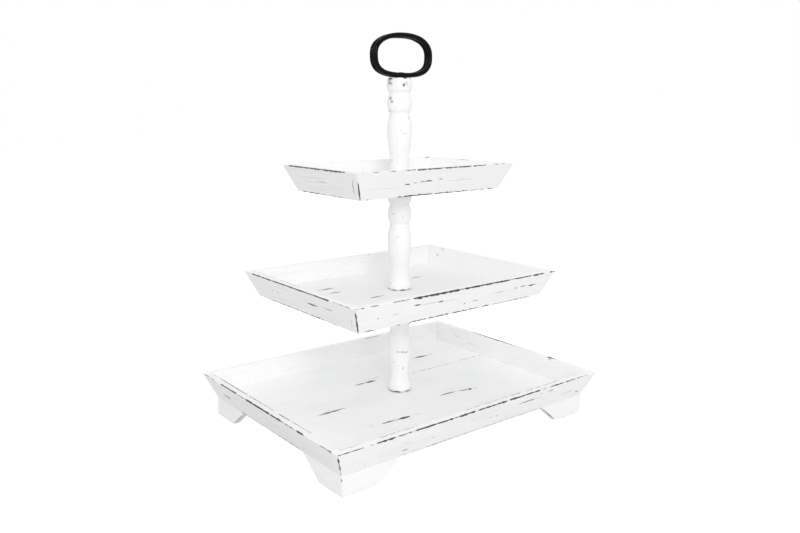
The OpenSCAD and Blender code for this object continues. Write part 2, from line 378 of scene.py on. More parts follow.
def long_board(tray, side, rub, marks, seed, painted_light_level=1.0, **more):
    """Front (side -1) or back (side 1) board. s runs from left to right, p in from the outer face, q up."""
    length, depth, h, level, thick, lean, _ = tray_size(tray)
    nominal = length - lean

    def place(s, p, q):
        half = length / 2 - lean * (1 - q / h)
        x = -half + 2 * half * s / nominal
        y = side * (depth / 2 - lean * (1 - q / h) - p)
        return x, y, level + q

    def to_s(x):
        return (x / (length / 2 - lean / 2) + 1) / 2 * nominal

    spans = spans_in_s(rub, to_s)
    points, quads, wear, _ = block((nominal, thick, h), (3.0, 2.5, 4.0), place, spans, seed, **more)
    where = "front" if side < 0 else "back"
    mat = paint(f"paint_{tray}_{where}", "x", seed, marks, painted_light_level=painted_light_level)
    make_mesh(f"{tray}_board_{where}", points, quads, wear, mat, TRAY_BODY[tray],
              [f"{tray}_wall_{where}"])


def short_board(tray, side, rub, marks, seed, streak=1.0, painted_light_level=1.0, **more):
    """Left (side -1) or right (side 1) board, between the long ones. s runs from front to back."""
    length, depth, h, level, thick, lean, _ = tray_size(tray)
    nominal = depth - 2 * thick - lean

    def place(s, p, q):
        half = depth / 2 - thick - lean * (1 - q / h)
        y = -half + 2 * half * s / nominal
        x = side * (length / 2 - lean * (1 - q / h) - p)
        return x, y, level + q

    def to_s(y):
        return (y / (depth / 2 - thick - lean / 2) + 1) / 2 * nominal

    spans = spans_in_s(rub, to_s)
    points, quads, wear, _ = block((nominal, thick, h), (3.0, 2.5, 4.0), place, spans, seed, **more)
    where = "left" if side < 0 else "right"
    mat = paint(f"paint_{tray}_{where}", "y", seed, marks, streak=streak, painted_light_level=painted_light_level)
    make_mesh(f"{tray}_board_{where}", points, quads, wear, mat, TRAY_BODY[tray],
              [f"{tray}_wall_{where}"])


def with_hole(points, quads, wear, at, size, centre, reach, hole_r, place):
    """Opens a round hole through a floor board: the square patch of half width reach round centre is
    swapped for rings of quads that close in on a circle, above and below, and the hole's wall."""
    s0, p0 = centre
    mid = at[quads].mean(axis=1)
    inside = (np.abs(mid[:, 0] - s0) < reach) & (np.abs(mid[:, 1] - p0) < reach)
    flat = (at[quads][:, :, 2].max(1) - at[quads][:, :, 2].min(1)) < 1e-9
    keep = quads[~(inside & flat)]
    off_s, off_p = np.abs(at[:, 0] - s0), np.abs(at[:, 1] - p0)
    on_edge = ((np.abs(off_s - reach) < ON_LINE) & (off_p <= reach + ON_LINE)) | \
              ((np.abs(off_p - reach) < ON_LINE) & (off_s <= reach + ON_LINE))
    rims = []
    new_points, new_quads, new_wear = [points], [keep], [wear]
    count = len(points)
    for level in (size[2], 0.0):
        ring = np.nonzero(on_edge & (np.abs(at[:, 2] - level) < ON_LINE))[0]
        ring = ring[np.argsort(np.arctan2(at[ring, 1] - p0, at[ring, 0] - s0))]
        angle = np.arctan2(at[ring, 1] - p0, at[ring, 0] - s0)
        start = np.stack([at[ring, 0], at[ring, 1]], 1)
        stop = np.stack([s0 + hole_r * np.cos(angle), p0 + hole_r * np.sin(angle)], 1)
        last = ring
        for step in (0.45, 0.8, 1.0):
            flat_at = start + (stop - start) * step
            new = np.stack(place(flat_at[:, 0], flat_at[:, 1], np.full(len(ring), level)), 1)
            here = np.arange(count, count + len(ring))
            count += len(ring)
            new_points.append(new)
            new_wear.append(np.full(len(ring), -2.0))
            band = np.stack([last, np.roll(last, -1), np.roll(here, -1), here], 1)
            new_quads.append(band if level > 0 else band[:, ::-1])
            last = here
        rims.append(last)
    top, bottom = rims
    new_quads.append(np.stack([top, np.roll(top, -1), np.roll(bottom, -1), bottom], 1))
    used = np.concatenate(new_quads)
    points, wear = np.concatenate(new_points), np.concatenate(new_wear)
    live = np.unique(used)
    renumber = np.full(len(points), -1, np.int64)
    renumber[live] = np.arange(len(live))
    return points[live], renumber[used], wear[live]


def floor_plank(name, tray, node, rub, marks, seed, hole, painted_light_level=1.0, **more):
    """Floor board. s runs from left to right, p from front to back, q up."""
    length, depth, h, level, thick, lean, floor_t = tray_size(tray)
    lo, hi = box(node)
    half_l = length / 2 - lean - thick
    front_slopes = lo[1] < -depth / 2 + lean + thick + 1
    back_slopes = hi[1] > depth / 2 - lean - thick - 1
    rise = lean * floor_t / h
    y0, y1 = lo[1] + rise * front_slopes, hi[1] - rise * back_slopes
    size = (2 * half_l + rise, y1 - y0, floor_t)

    def place(s, p, q):
        half = half_l + rise * q / floor_t
        x = (s / size[0] * 2 - 1) * half
        front = y0 - rise * front_slopes * q / floor_t
        back = y1 + rise * back_slopes * q / floor_t
        y = front + (back - front) * p / size[1]
        return x, y, level + q

    def to_s(x):
        return (x / (half_l + rise) + 1) / 2 * size[0]

    spans = spans_in_s(rub, to_s)
    centre = (size[0] / 2, -y0 if hole else 0.0)
    ring = HOLE_PATCH / 3 * np.arange(-3, 4)
    extra = ([centre[0] + v for v in ring], [centre[1] + v for v in ring], ()) if hole else ((), (), ())
    points, quads, wear, at = block(size, (5.0, 7.0, 3.0), place, spans, seed, extra=extra, **more)
    if hole:
        points, quads, wear = with_hole(points, quads, wear, at, size, centre, HOLE_PATCH, HOLE_RADIUS, place)
    mat = paint(f"paint_{name}", "x", seed, marks, painted_light_level=painted_light_level, streak=0.7)
    make_mesh(name, points, quads, wear, mat, TRAY_BODY[tray], [node])


def corner_foot(left, front, kind, rub, marks, seed):
    """One board of a bracket foot. s runs from its cut end to the corner, p in from the outer face, q up."""
    node = f"foot_{'front' if front else 'back'}_{'left' if left else 'right'}_{kind}"
    lo, hi = box(node)
    sx, sy = (-1 if left else 1), (-1 if front else 1)
    along, across = (0, 1) if kind == "long" else (1, 0)
    corner = np.array([max(abs(lo[0]), abs(hi[0])), max(abs(lo[1]), abs(hi[1]))])
    top = hi[along] - lo[along]
    thick = hi[across] - lo[across]
    bottom = FOOT_BOTTOM[kind]
    h = hi[2] - lo[2]
    nominal = (top + bottom) / 2

    def place(s, p, q):
        near = corner[along] - p
        far = corner[along] - (bottom + (top - bottom) * q / h)
        u = far + (near - far) * s / nominal
        v = corner[across] - p
        x, y = (u, v) if kind == "long" else (v, u)
        return sx * x, sy * y, lo[2] + q

    points, quads, wear, _ = block((nominal, thick, h), (3.0, 2.5, 3.0), place, rub, seed,
                                   radius=0.35, dots=0.12)
    mat = paint(f"paint_{node}", "x" if kind == "long" else "y", seed, marks, streak=0.6)
    make_mesh(node + "_board", points, quads, wear, mat, "base", [node])


# Worn spans along each edge: start, end and how far the rub reaches from the edge. Scrapes on the faces:
# (centre, half sizes, turn, strength).

# The tone given to a board below is painted light (above 1) or painted shade (below 1) over that whole board.
long_board("base", -1, {
    "s_p0_q1": [(-197, -163, 0.8), (-158, -150, 0.5), (-150, -124, 1.5), (-124, -101, 1.0), (-101, -38, 1.9),
                (-38, -12, 2.2), (-12, 39, 1.7), (39, 94, 1.9), (94, 106, 0.6), (109, 134, 1.7),
                (134, 156, 1.3),
                (156, 179, 0.6), (196, 203, 1.2)],
    "s_p1_q1": [(-190, -162, 1.4), (-142, -88, 1.6), (-23, -9, 1.7), (-9, 48, 1.4), (48, 68, 2.1),
                (75, 90, 1.8),
                (90, 138, 1.5)],
    "s_p0_q0": [(-113, -106, 1.6), (-101, -80, 1.1), (-80, -35, 1.5), (-35, 7, 1.2), (7, 57, 1.4),
                (57, 114, 1.2)],
    "q_s0_p0": [(2, 6, 1.0), (7, 30, 1.3)],
    "q_s1_p0": [(20, 32, 0.4)],
}, [
    ((80, -152.6, 44), (18, 4, 0.75), 0, 1.0), ((100, -154.5, 49), (3.5, 4, 0.5), 0, 0.8),
    ((118, -154.4, 49), (6, 4, 0.7), 0, 0.9), ((154, -151, 36), (20, 4, 0.35), 0, 0.7),
    ((176, -149, 32), (5, 4, 0.7), 0, 0.9), ((29, -150, 37), (3, 4, 0.6), 0, 0.8),
    ((18, -150, 38), (2, 4, 0.5), 0, 0.7), ((-108.5, -148, 32), (5, 4, 0.55), 0, 0.9),
    ((-101, -151, 38.6), (27, 4, 0.35), 0, 0.30), ((-69.5, -149, 36.5), (2, 4, 0.5), 0, 0.7),
    ((-110, -152, 42.6), (6, 4, 0.35), 0, 0.5), ((-161, -147, 29), (1.2, 4, 0.5), 0, 0.6),
    ((10, -153, 45), (30, 4, 0.4), 0, 0.16),
], 1)
long_board("base", 1, {
    "s_p0_q1": [(-170, -120, 0.25), (-60, 30, 0.3), (80, 120, 0.4)],
    "s_p1_q1": [(40, 80, 0.3)],
    "s_p0_q0": [(-90, -20, 0.6), (30, 70, 0.9)],
    "q_s0_p0": [(12, 28, 0.9)],
    "q_s1_p0": [(4, 14, 1.0), (20, 31, 0.6)],
}, [((-30, 152.6, 44), (16, 4, 0.8), 0, 1.0), ((60, 151, 40), (12, 4, 0.5), 0, 0.8),
    ((120, 154, 48), (8, 4, 0.6), 0, 0.9)], 2, dots=0.18, painted_light_level=1.04)
short_board("base", -1, {
    "s_p0_q1": [(143, 114, 0.7), (100, 57, 1.6), (57, 38, 0.7), (38, -19, 2.1), (-19, -48, 1.7),
                (-48, -73, 0.9),
                (-73, -90, 2.0), (-100, -104, 0.8), (-118, -146, 1.0)],
    "s_p1_q1": [(140, 118, 0.9), (118, 44, 1.9), (44, -16, 1.5), (-24, -49, 2.2), (-49, -94, 1.4)],
    "s_p0_q0": [(80, -15, 1.7), (-15, -70, 2.1)],
}, [
    ((-195.6, 101, 38), (4, 10, 0.9), 0, 1.0), ((-197, -30, 41), (4, 30, 0.7), 0, 0.2),
    ((-198, 40, 45), (4, 40, 0.5), 0, 0.16), ((-194, -100, 34), (4, 30, 0.5), 0, 0.18),
], 3, painted_light_level=0.96)
short_board("base", 1, {
    "s_p0_q1": [(110, 74, 1.6), (74, 18, 3.0), (18, 14, 4.0), (12, -54, 2.4), (-74, -90, 3.5)],
    "s_p1_q1": [(-78, -86, 0.5)],
    "s_p0_q0": [(60, 10, 0.7)],
}, [((201.2, 28, 56), (2.6, 50, 1.5), 0, 1.0), ((200, -82, 56), (4, 6.5, 2.0), 0, 1.0),
    ((186, -8, 34), (3, 3, 1.2), 0, 0.9), ((198, 20, 44), (4, 14, 0.7), 0, 0.9),
    ((186, 60, 42), (4, 16, 0.7), 0, 0.16), ((188, 95, 46), (5, 12, 1.0), 0, 0.14)], 4, dots=0.05)
floor_plank("base_plank_front", "base", "base_floor_front", {
    "s_p1_q1": [(47, 120, 0.4), (120, 184, 0.55)],
}, [
    ((-114, -10.7, 33), (20, 1.9, 3), 0, 1.0), ((-114, -5.5, 33), (6, 0.5, 3), 0, 0.5),
    ((-77, -78, 33), (11, 1.5, 3), -4, 1.0), ((-57, -79.5, 33), (10.5, 2.6, 3), -3, 1.0),
    ((-50, -79.8, 33), (3.5, 2.4, 3), -3, 1.0), ((-36, -81, 33), (6, 0.5, 3), -12, 0.45),
    ((-101, -75, 33), (2.5, 0.6, 3), 0, 0.5),
    ((39, -51.5, 33), (12.5, 1.5, 3), -2, 1.0), ((63, -55.5, 33), (8.5, 1.4, 3), -12, 1.0),
    ((72, -57.6, 33), (3.6, 2.2, 3), 40, 1.0), ((80, -59, 33), (2.0, 0.9, 3), 0, 0.7),
    ((185.5, -7.5, 33), (2.8, 2.2, 3), 0, 1.0),
    ((-98, -58, 33), (22, 0.5, 3), 0, 0.08), ((30, -100, 33), (40, 0.6, 3), 0, 0.08),
], 5, True, radius=0.3, dots=0.0, painted_light_level=1.045)
floor_plank("base_plank_rear", "base", "base_floor_rear", {
    "s_p0_q1": [(47, 184, 0.3)],
}, [
    ((-29, 46.2, 33), (8, 1.4, 3), -2, 0.95), ((-14, 45.4, 33), (9.5, 2.3, 3), -2, 1.0),
    ((-4, 53.5, 33), (18, 0.8, 3), -1, 0.45), ((106, 85.5, 33), (15.5, 2.2, 3), -6, 1.0),
    ((127, 85.4, 33), (5.5, 0.5, 3), 9, 0.6),
], 6, False, radius=0.3, dots=0.0, painted_light_level=1.055)

long_board("middle", -1, {
    "s_p0_q1": [(-153, -142, 0.68), (-142, -136, 1.62), (-131, -116, 0.81), (-102, -88, 0.68),
                (-91, -77, 1.22),
                (-74, -5, 2.56), (-5, 71, 2.03), (71, 109, 1.49), (109, 130, 2.03), (137, 152, 1.49)],
    "s_p1_q1": [(-40, 60, 0.2)],
    "s_p0_q0": [(-141, -124, 2.04), (-95, -88, 2.16), (-77, -48, 1.92), (-48, -11, 2.4), (-11, 38, 2.04),
                (40, 57, 2.16),
                (57, 130, 1.44)],
    "q_s0_p0": [(1, 30, 1.5), (0, 3, 2.2)],
    "q_s1_p0": [(2, 8, 0.6), (20, 27, 0.8)],
    "q_s0_p1": [(6, 20, 0.2)],
}, [
    ((-68, -117, 181), (5, 4, 0.9), 0, 1.0), ((-50, -117, 180), (16, 4, 0.35), 0, 0.6),
    ((-33, -117, 179.6), (5, 4, 0.7), 0, 1.0), ((-19, -116, 179), (12, 4, 0.35), 0, 0.4),
    ((7, -113, 170), (1.3, 4, 0.8), 0, 0.9), ((25, -113, 171), (4.5, 4, 0.5), 0, 0.9),
    ((64, -115, 175.8), (15, 4, 0.8), 0, 0.3), ((90, -116, 177), (3, 4, 0.6), 0, 1.0),
    ((101, -116, 177.6), (6, 4, 0.6), 0, 1.0), ((118, -116, 176.8), (8, 4, 0.8), 0, 1.0),
    ((-96, -115, 175), (4.5, 4, 0.5), 0, 0.5), ((-120, -115, 174), (1.2, 4, 0.8), 0, 0.8),
], 7)
long_board("middle", 1, {
    "s_p0_q1": [(-120, -70, 0.3), (-20, 60, 0.35), (90, 120, 0.5)],
    "s_p1_q1": [(-120, -112, 0.3), (30, 36, 0.3)],
    "s_p0_q0": [(-60, 20, 0.8)],
    "q_s0_p0": [(6, 20, 1.0)],
    "q_s1_p0": [(12, 30, 0.9)],
}, [((20, 116, 177), (14, 4, 0.8), 0, 1.0), ((-70, 115, 174), (9, 4, 0.6), 0, 0.8)], 8, dots=0.25)
short_board("middle", -1, {
    "s_p0_q1": [(97, 47, 1.6), (47, -70, 1.4), (-70, -110, 0.5)],
    "s_p1_q1": [(110, 98, 1.4), (98, -2, 1.3)],
    "s_p0_q0": [(94, 83, 1.9), (83, -51, 1.9), (-51, -78, 1.3)],
    "q_s0_p0": [(5, 20, 0.3)],
}, [
    ((-148.5, -30, 176.5), (4, 12, 1.3), 0, 1.0), ((-149.5, -62, 178), (4, 11, 0.5), 0, 0.8),
    ((-148.5, 61, 175.5), (4, 2, 0.6), 0, 0.7), ((-148, 48, 175.5), (4, 1.5, 0.5), 0, 0.7),
    ((-147, 97, 171.5), (4, 1, 0.8), 0, 0.7), ((-150, 20, 184), (4, 40, 0.7), 0, 0.14),
    ((-146, 30, 168), (4, 30, 0.7), 0, 0.14), ((-154.3, 22, 190.9), (0.6, 34, 0.6), 0, 0.7),
], 9, painted_light_level=0.98)
short_board("middle", 1, {
    "s_p0_q1": [(60, 10, 0.8), (-20, -60, 0.5)],
    "s_p1_q1": [(-4, -10, 0.5)],
    "s_p0_q0": [(40, -30, 0.8)],
}, [
    ((140, 89, 181), (3, 3.5, 2.2), 0, 0.35), ((143, 82, 190), (3, 4, 2.5), 0, 0.25),
    ((134, 37, 166), (2.5, 16, 0.7), 0, 0.5), ((141, 60, 176), (3, 20, 0.8), 0, 0.16),
], 10, dots=0.15)
floor_plank("middle_plank", "middle", "middle_floor", {}, [
    ((-75, 53.5, 168), (13, 1.9, 3), 0, 1.0), ((-76, 31.5, 168), (11, 1.3, 3), -4, 1.0),
    ((-48, -18, 168), (12, 1.5, 3), 2, 1.0), ((-44, 102, 168), (1.5, 0.9, 3), 0, 0.8),
    ((57, 36.5, 168), (9, 1.3, 3), 0, 1.0), ((70, 38, 168), (5, 0.4, 3), 0, 0.6),
    ((10, 80, 168), (30, 0.5, 3), 0, 0.12), ((60, -60, 168), (26, 0.5, 3), 0, 0.12),
], 11, True, radius=0.3, dots=0.0)

long_board("top", -1, {
    "s_p0_q1": [(-107, -102, 1.22), (-95, -86, 0.81), (-72, -61, 0.81), (-57, -51, 0.68), (-51, -34, 1.08),
                (-34, 3, 1.76),
                (3, 46, 1.62), (46, 69, 1.35), (76, 98, 0.47), (112, 117, 0.68)],
    "s_p1_q1": [(14, 32, 0.35), (55, 89, 0.3)],
    "s_p0_q0": [(-105, -99, 1.84), (-60, -50, 1.61), (-50, -1, 2.07), (-1, 59, 1.61), (59, 88, 1.03),
                (91, 103, 1.49)],
    "q_s0_p0": [(2, 24, 1.3), (0, 3, 2.0)],
    "q_s1_p0": [(2, 30, 0.6)],
    "q_s0_p1": [(3, 12, 0.35), (17, 26, 0.25)],
}, [
    ((-45, -71, 309), (4, 4, 0.8), 0, 1.0), ((-33.5, -71, 310), (2.5, 4, 0.5), 0, 0.9),
    ((-23, -72, 311), (3.5, 4, 0.5), 0, 0.9), ((-14, -72, 311.3), (5.5, 4, 0.9), 0, 1.0),
    ((3, -72, 312.3), (4.5, 4, 0.8), 0, 0.9), ((37, -71, 309.5), (26, 4, 0.6), 0, 0.25),
    ((-75, -71, 306), (30, 4, 0.5), 0, 0.15),
], 12, painted_light_level=0.96)
long_board("top", 1, {
    "s_p0_q1": [(-80, -40, 0.35), (0, 50, 0.5), (90, 106, 0.9)],
    "s_p1_q1": [(92, 104, 0.9), (60, 66, 0.6)],
    "s_p0_q0": [(-40, 30, 0.9)],
    "q_s0_p0": [(4, 24, 1.0)],
    "q_s1_p0": [(10, 30, 0.9)],
}, [((-20, 71, 309), (12, 4, 0.8), 0, 1.0), ((50, 72, 312), (8, 4, 0.6), 0, 0.9)], 13, dots=0.28, painted_light_level=0.96)
short_board("top", -1, {
    "s_p0_q1": [(77, 58, 0.6), (58, -52, 1.8)],
    "s_p1_q1": [(0, -49, 0.4), (60, 30, 0.3)],
    "s_p0_q0": [(62, 48, 1.9), (48, 3, 1.5), (3, -43, 1.1)],
    "q_s1_p0": [(2, 30, 0.4)],
    "q_s0_p0": [(4, 26, 0.5)],
}, [
    ((-112.5, 2, 310), (4, 14, 0.6), 0, 0.45), ((-111.5, 31, 308.5), (4, 15, 0.5), 0, 0.22),
    ((-114, 20, 314), (4, 34, 0.8), 0, 0.13), ((-108, 10, 301), (4, 36, 0.7), 0, 0.14),
    ((-110, -20, 305), (4, 26, 0.6), 0, 0.13),
], 14, streak=1.6, painted_light_level=0.96)
short_board("top", 1, {
    "s_p0_q1": [(50, 0, 0.9), (-20, -50, 0.6)],
    "s_p1_q1": [(20, -10, 0.4)],
    "s_p0_q0": [(30, -30, 1.0)],
}, [((112, -10, 309), (4, 12, 0.8), 0, 0.9)], 15, dots=0.2)
floor_plank("top_plank", "top", "top_floor", {}, [
    ((-50, 18, 303), (12, 0.8, 3), 0, 0.9), ((45, -22, 303), (9, 0.7, 3), 2, 0.85),
    ((40, 34, 303), (20, 0.5, 3), 0, 0.15),
], 16, True, radius=0.3, dots=0.0)

FOOT_EDGE = {"q_s1_p0": [(3, 6, 0.8), (8, 9, 0.7), (11, 13, 0.9), (16, 23, 1.0)], "s_p0_q0": [(4, 50, 0.3)]}
for number, (is_left, is_front) in enumerate(((True, True), (False, True), (True, False), (False, False))):
    cut_long = {"q_s0_p0": [(2, 22, 1.1 if (is_front and not is_left) else 0.35)]}
    cut_short = {"q_s0_p0": [(2, 22, 1.0 if (is_left and not is_front) else 0.3)]}
    corner_foot(is_left, is_front, "long", {**FOOT_EDGE, **cut_long}, [], 20 + number)
    corner_foot(is_left, is_front, "short", {**FOOT_EDGE, **cut_short}, [], 30 + number)

# ---------------------------------------------------------------- turned posts

# [height, radius] of the turning, the same line as the CAD posts
PROFILE = [
    (0, 13.0), (0.8, 13.9), (3, 14.4), (6, 14.4), (9, 13.5), (13, 12.4), (18, 11.8), (23, 11.6), (28, 11.8),
    (33, 12.5), (39, 13.5), (45, 14.3), (51, 14.8), (58, 15.1), (65, 15.1), (70, 14.8), (74, 14.2),
    (76.8, 13.4),
    (77.4, 12.9), (80.4, 12.9), (82, 12.2), (83.4, 11.9), (84.6, 12.1), (86, 13.0), (88.5, 14.1), (92, 14.7),
    (96, 14.9), (100, 14.6), (103, 14.0), (105.5, 13.1), (107.2, 12.2), (108.2, 12.0), (109.2, 12.6),
    (110.2, 13.8), (112, 14.5), (115, 15.2), (118, 15.4), (121.5, 15.1), (124.4, 14.5), (125.6, 13.8),
]


def smooth_line(points, step):
    """Points along a smooth curve through the given ones, about step apart."""
    p = np.array(points, float)
    p = np.vstack([2 * p[0] - p[1], p, 2 * p[-1] - p[-2]])
    made = []
    for a, b, c, d in zip(p[:-3], p[1:-2], p[2:-1], p[3:]):
        count = max(1, int(round(np.linalg.norm(c - b) / step)))
        for t in np.arange(count) / count:
            made.append(0.5 * ((2 * b) + (c - a) * t + (2 * a - 5 * b + 4 * c - d) * t * t
                               + (3 * b - a - 3 * c + d) * t ** 3))
    made.append(p[-2])
    return np.array(made)


def turned_post(name, node, body, marks, seed, foot_rub, specks, painted_light_level=1.0):
    lo, hi = box(node)
    tall = hi[2] - lo[2]
    outer = smooth_line([(z * tall / 125.6, r) for z, r in PROFILE], 0.9)
    z, r = outer[:, 0], outer[:, 1]
    bore_up = np.array([(20.0, 0.001), (20.0, 3.2), (15.0, 3.2), (15.0, 4.5), (0.0, 4.5)])
    line = np.vstack([bore_up, [(0.0, 9.0)], outer, [(tall, 9.0)],
                      np.stack([tall - bore_up[::-1, 0], bore_up[::-1, 1]], 1)])
    skin = np.zeros(len(line), bool)
    skin[6:6 + len(outer)] = True
    turns = 112
    angle = np.arange(turns) / turns * 2 * math.pi
    rows, cols = np.meshgrid(np.arange(len(line)), np.arange(turns), indexing="ij")
    zz, rr, aa = line[rows, 0], line[rows, 1], angle[cols]
    # a hand-finished surface: thick paint, very slightly out of round
    uneven = 0.05 * np.sin(3 * aa + 0.06 * zz + seed) + 0.04 * np.sin(5 * aa - 0.11 * zz + 2 * seed)
    uneven = uneven + 0.05 * np.sin(0.5 * zz + 2 * aa + seed)
    rr = rr + np.where(skin[rows], uneven, 0.0)
    points = np.stack([rr * np.cos(aa), rr * np.sin(aa), lo[2] + zz], -1).reshape(-1, 3)
    ids = np.arange(len(line) * turns).reshape(len(line), turns)
    nxt = np.roll(ids, -1, axis=1)
    quads = np.stack([ids[:-1], nxt[:-1], nxt[1:], ids[1:]], -1).reshape(-1, 4)
    # rub round the foot and the top rim, and a little on the crests
    round_wave = wave(np.concatenate([angle]), seed + 3, 1.1)[cols]
    foot = foot_rub * (0.9 + 0.9 * round_wave) - np.abs(zz - 0.4)
    crown = 0.9 * (0.2 + 0.9 * np.roll(round_wave, 17, axis=1)) - np.abs(zz - tall + 0.6)
    beads = -1.15 + 0.35 * wave(aa * 13, seed + 9, 9.0)
    wear = np.maximum(np.maximum(foot, crown), beads)
    wear = np.where(skin[rows], np.maximum(wear, -1.3), -3.0).reshape(-1)
    mat = paint(f"paint_{name}", "round", seed, marks, specks=specks, streak=0.5, splinter=4.5, painted_light_level=painted_light_level)
    make_mesh(name, points, quads, wear, mat, body, [node])


lower, middle, upper = (box(n)[0][2] for n in ("post_lower", "post_middle", "post_upper"))
# tone on the lower and middle posts is painted light that lifts them out of the shade under the trays
turned_post("post_lower_turning", "post_lower", "lower_post", [
    ((-11.1, -10, lower + 55.2), (1.7, 1.7, 0.8), 0, 0.75),
    ((-5.9, -13.7, lower + 54.8), (3.6, 3, 0.7), 0, 0.85),
    ((-0.4, -14.8, lower + 53.8), (2.4, 3, 0.8), 0, 0.7),
    ((-3.8, -11.7, lower + 32.2), (0.8, 2, 1.6), 0, 0.6),
    ((-13, -4.1, lower + 40.7), (1.5, 1.5, 0.8), 0, 0.3),
], 41, 1.0, 1.0, painted_light_level=1.05)
turned_post("post_middle_turning", "post_middle", "middle_post", [
    ((-13.7, -5.5, middle + 97), (2, 2, 0.8), 0, 0.3), ((-4.7, -14, middle + 93.4), (1.6, 3, 0.7), 0, 0.3),
    ((-11, -9.9, middle + 68.6), (1.2, 2, 0.7), 0, 0.35), ((-13.6, 1.1, middle + 8.5), (2, 2, 1.0), 0, 0.5),
], 42, 0.55, 1.0, painted_light_level=1.03)
turned_post("post_upper_turning", "post_upper", "upper_post", [
    ((-14.6, 0.4, upper + 123.6), (3, 3.6, 1.6), 0, 0.8),
    ((-15.1, -0.6, upper + 119.6), (2, 3.0, 2.2), 0, 0.75),
    ((-14.6, -4.2, upper + 117.8), (2, 1.8, 1.0), 0, 0.55),
    ((-4.8, -14.5, upper + 117.2), (1.5, 3, 1.9), 0, 1.0),
    ((-1.4, -15.2, upper + 119.6), (0.9, 3, 1.0), 0, 0.8),
    ((0.4, -15.2, upper + 117.6), (0.8, 3, 1.0), 0, 0.7),
    ((-14.3, -0.6, upper + 101.6), (2, 2.0, 2.0), 0, 0.75),
    ((-14.3, -3.4, upper + 97.6), (2, 1.8, 1.7), 0, 0.8),
    ((-12.9, 2.8, upper + 86.8), (2, 2.4, 0.9), 0, 0.7), ((4.8, -11.9, upper + 77.6), (1.6, 2, 0.7), 0, 0.6),
    ((-8.1, -12.7, upper + 62.9), (1.2, 2, 0.5), 0, 0.35),
    ((-3.5, -14.7, upper + 59.5), (3.2, 2, 0.5), 0, 0.3),
    ((-2.7, -13.7, upper + 42.5), (0.7, 2, 0.9), 0, 0.35),
    ((-11.7, 0.5, upper + 26.5), (2, 1.2, 0.8), 0, 0.5),
], 43, 0.5, 1.1)

# ---------------------------------------------------------------- handle


def round_loop(node, side, shrink, shift, seed):
    """Loop of round bar, a little squarer below than above. shrink and shift give its height and its place
    along X their small differences from its twin."""
    lo, hi = box(node)
    centre = (lo + hi) / 2
    bar = hi[1] - lo[1]
    a, b = (hi[0] - lo[0] - bar) / 2, (hi[2] - lo[2] - bar) / 2
    turn = np.linspace(-math.pi, math.pi, 2001)
    cos, sin = np.cos(turn), np.sin(turn)
    round_above, square_below = 2.3, 2.85
    power = 2 / np.where(sin > 0, round_above, square_below)
    x, z = a * np.sign(cos) * np.abs(cos) ** power, b * np.sign(sin) * np.abs(sin) ** power
    run = np.concatenate([[0.0], np.cumsum(np.hypot(np.diff(x), np.diff(z)))])
    n, m = 260, 28
    even = np.arange(n) / n * run[-1]
    x, z = np.interp(even, run, x), np.interp(even, run, z)
    dx, dz = np.roll(x, -1) - np.roll(x, 1), np.roll(z, -1) - np.roll(z, 1)
    far = np.hypot(dx, dz)
    out_x, out_z = dz / far, -dx / far
    t = np.arange(n) / n * 2 * math.pi
    # a hand-bent bar: its line wanders a little and the paint on it is uneven
    wander = 0.10 * np.sin(3 * t + seed) + 0.05 * np.sin(8 * t + 2 * seed)
    x, z = x + out_x * wander + shift, (z + b) * (1 - shrink / (2 * b)) - b + out_z * wander
    slimmer = 0.965
    thick = bar / 2 * (slimmer + 0.012 * np.sin(5 * t + seed) + 0.008 * np.sin(13 * t))
    round_bar = np.arange(m) / m * 2 * math.pi
    across = thick[:, None] * np.cos(round_bar)[None, :]
    points = np.stack([centre[0] + x[:, None] + out_x[:, None] * across,
                       centre[1] + thick[:, None] * np.sin(round_bar)[None, :],
                       centre[2] + z[:, None] + out_z[:, None] * across], -1)
    ids = np.arange(n * m).reshape(n, m)
    down, right = np.roll(ids, -1, axis=0), np.roll(ids, -1, axis=1)
    quads = np.stack([ids, right, np.roll(down, -1, axis=1), down], -1).reshape(-1, 4)
    make_mesh(f"handle_bar_{side}", points.reshape(-1, 3), quads, np.zeros(n * m),
              gloss_black(f"black_{side}", seed), "handle", [node])


def weld_bead():
    """Lumpy bead of weld between the two loops, at their bottom."""
    lo, hi = box("handle_weld")
    spill, sunk = 1.2, 2.5    # half of what it runs on to the left, and its centre's depth under the top
    centre = np.array([(lo[0] + hi[0]) / 2 - spill, 0.0, hi[2] - sunk])
    half = np.array([(hi[0] - lo[0]) / 2 + spill, 2.4, 1.9])
    turns, rings = 40, 14
    points = [centre + (0, 0, half[2])]
    for k in range(1, rings + 1):
        a = k / rings * (math.pi / 2 + 0.35)
        for j in range(turns):
            b = j / turns * 2 * math.pi
            lump = 1 + 0.10 * math.sin(4 * b + 3 * a) * math.sin(a) + 0.07 * math.sin(7 * b - 5 * a)
            points.append(centre + half * np.array([math.sin(a) * math.cos(b), math.sin(a) * math.sin(b),
                                                    math.cos(a)]) * lump)
    points.append(centre + (0, 0, -half[2] * 0.4))
    points = np.array(points)
    quads = []
    for j in range(turns):
        nxt = (j + 1) % turns
        for k in range(rings - 1):
            a, b = 1 + k * turns, 1 + (k + 1) * turns
            quads.append((a + j, b + j, b + nxt, a + nxt))
    caps = [(0, 1 + j, 1 + (j + 1) % turns) for j in range(turns)]
    last = 1 + (rings - 1) * turns
    caps += [(len(points) - 1, last + (j + 1) % turns, last + j) for j in range(turns)]
    mesh = bpy.data.meshes.new("handle_weld_bead")
    mesh.from_pydata((points * MM).tolist(), [], quads + caps)
    mesh.validate()
    mesh.polygons.foreach_set("use_smooth", np.ones(len(mesh.polygons), bool))
    mesh.materials.append(gloss_black("black_weld", 2, rough=0.42, lumps=0.0004))
    piece = bpy.data.objects.new("handle_weld_bead", mesh)
    bpy.context.scene.collection.objects.link(piece)
    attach(piece, "handle")
    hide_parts("handle_weld")


